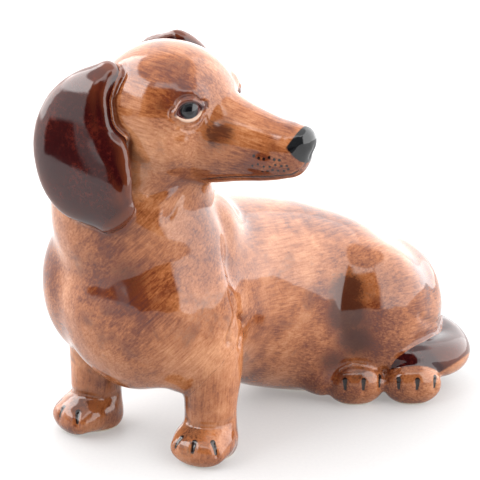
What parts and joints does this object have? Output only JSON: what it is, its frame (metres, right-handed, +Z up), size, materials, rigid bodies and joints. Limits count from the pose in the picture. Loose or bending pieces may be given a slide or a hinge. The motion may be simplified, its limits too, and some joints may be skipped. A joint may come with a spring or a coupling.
{
  "type": "seated dog figurine",
  "caption": "Glazed earthenware figurine of a short-legged, long-eared hound sitting with its hips rolled to one side and its head turned over its shoulder.",
  "frame": {"origin": "on the table, at the middle of the figurine's bounding box", "axes": "+Z up, the chest faces -Y, and the dog's left side, which its muzzle points to, is +X"},
  "size_m": [0.0974, 0.13, 0.1171],
  "materials": {
    "painted_coat": "cream earthenware with red-brown underglaze brushed on in fine streaks, under a clear high-gloss glaze; bare biscuit where it stands",
    "painted_oxblood": "the same clay and glaze over a dense dark red-brown underglaze"
  },
  "bodies": {
    "root": {"torso_casting": "painted_coat", "head_casting": "painted_coat", "left_ear": "painted_oxblood", "right_ear": "painted_oxblood", "left_foreleg": "painted_coat", "right_foreleg": "painted_coat", "left_hind_paw": "painted_coat", "right_hind_paw": "painted_coat", "tail": "painted_oxblood"}
  },
  "joints": []
}
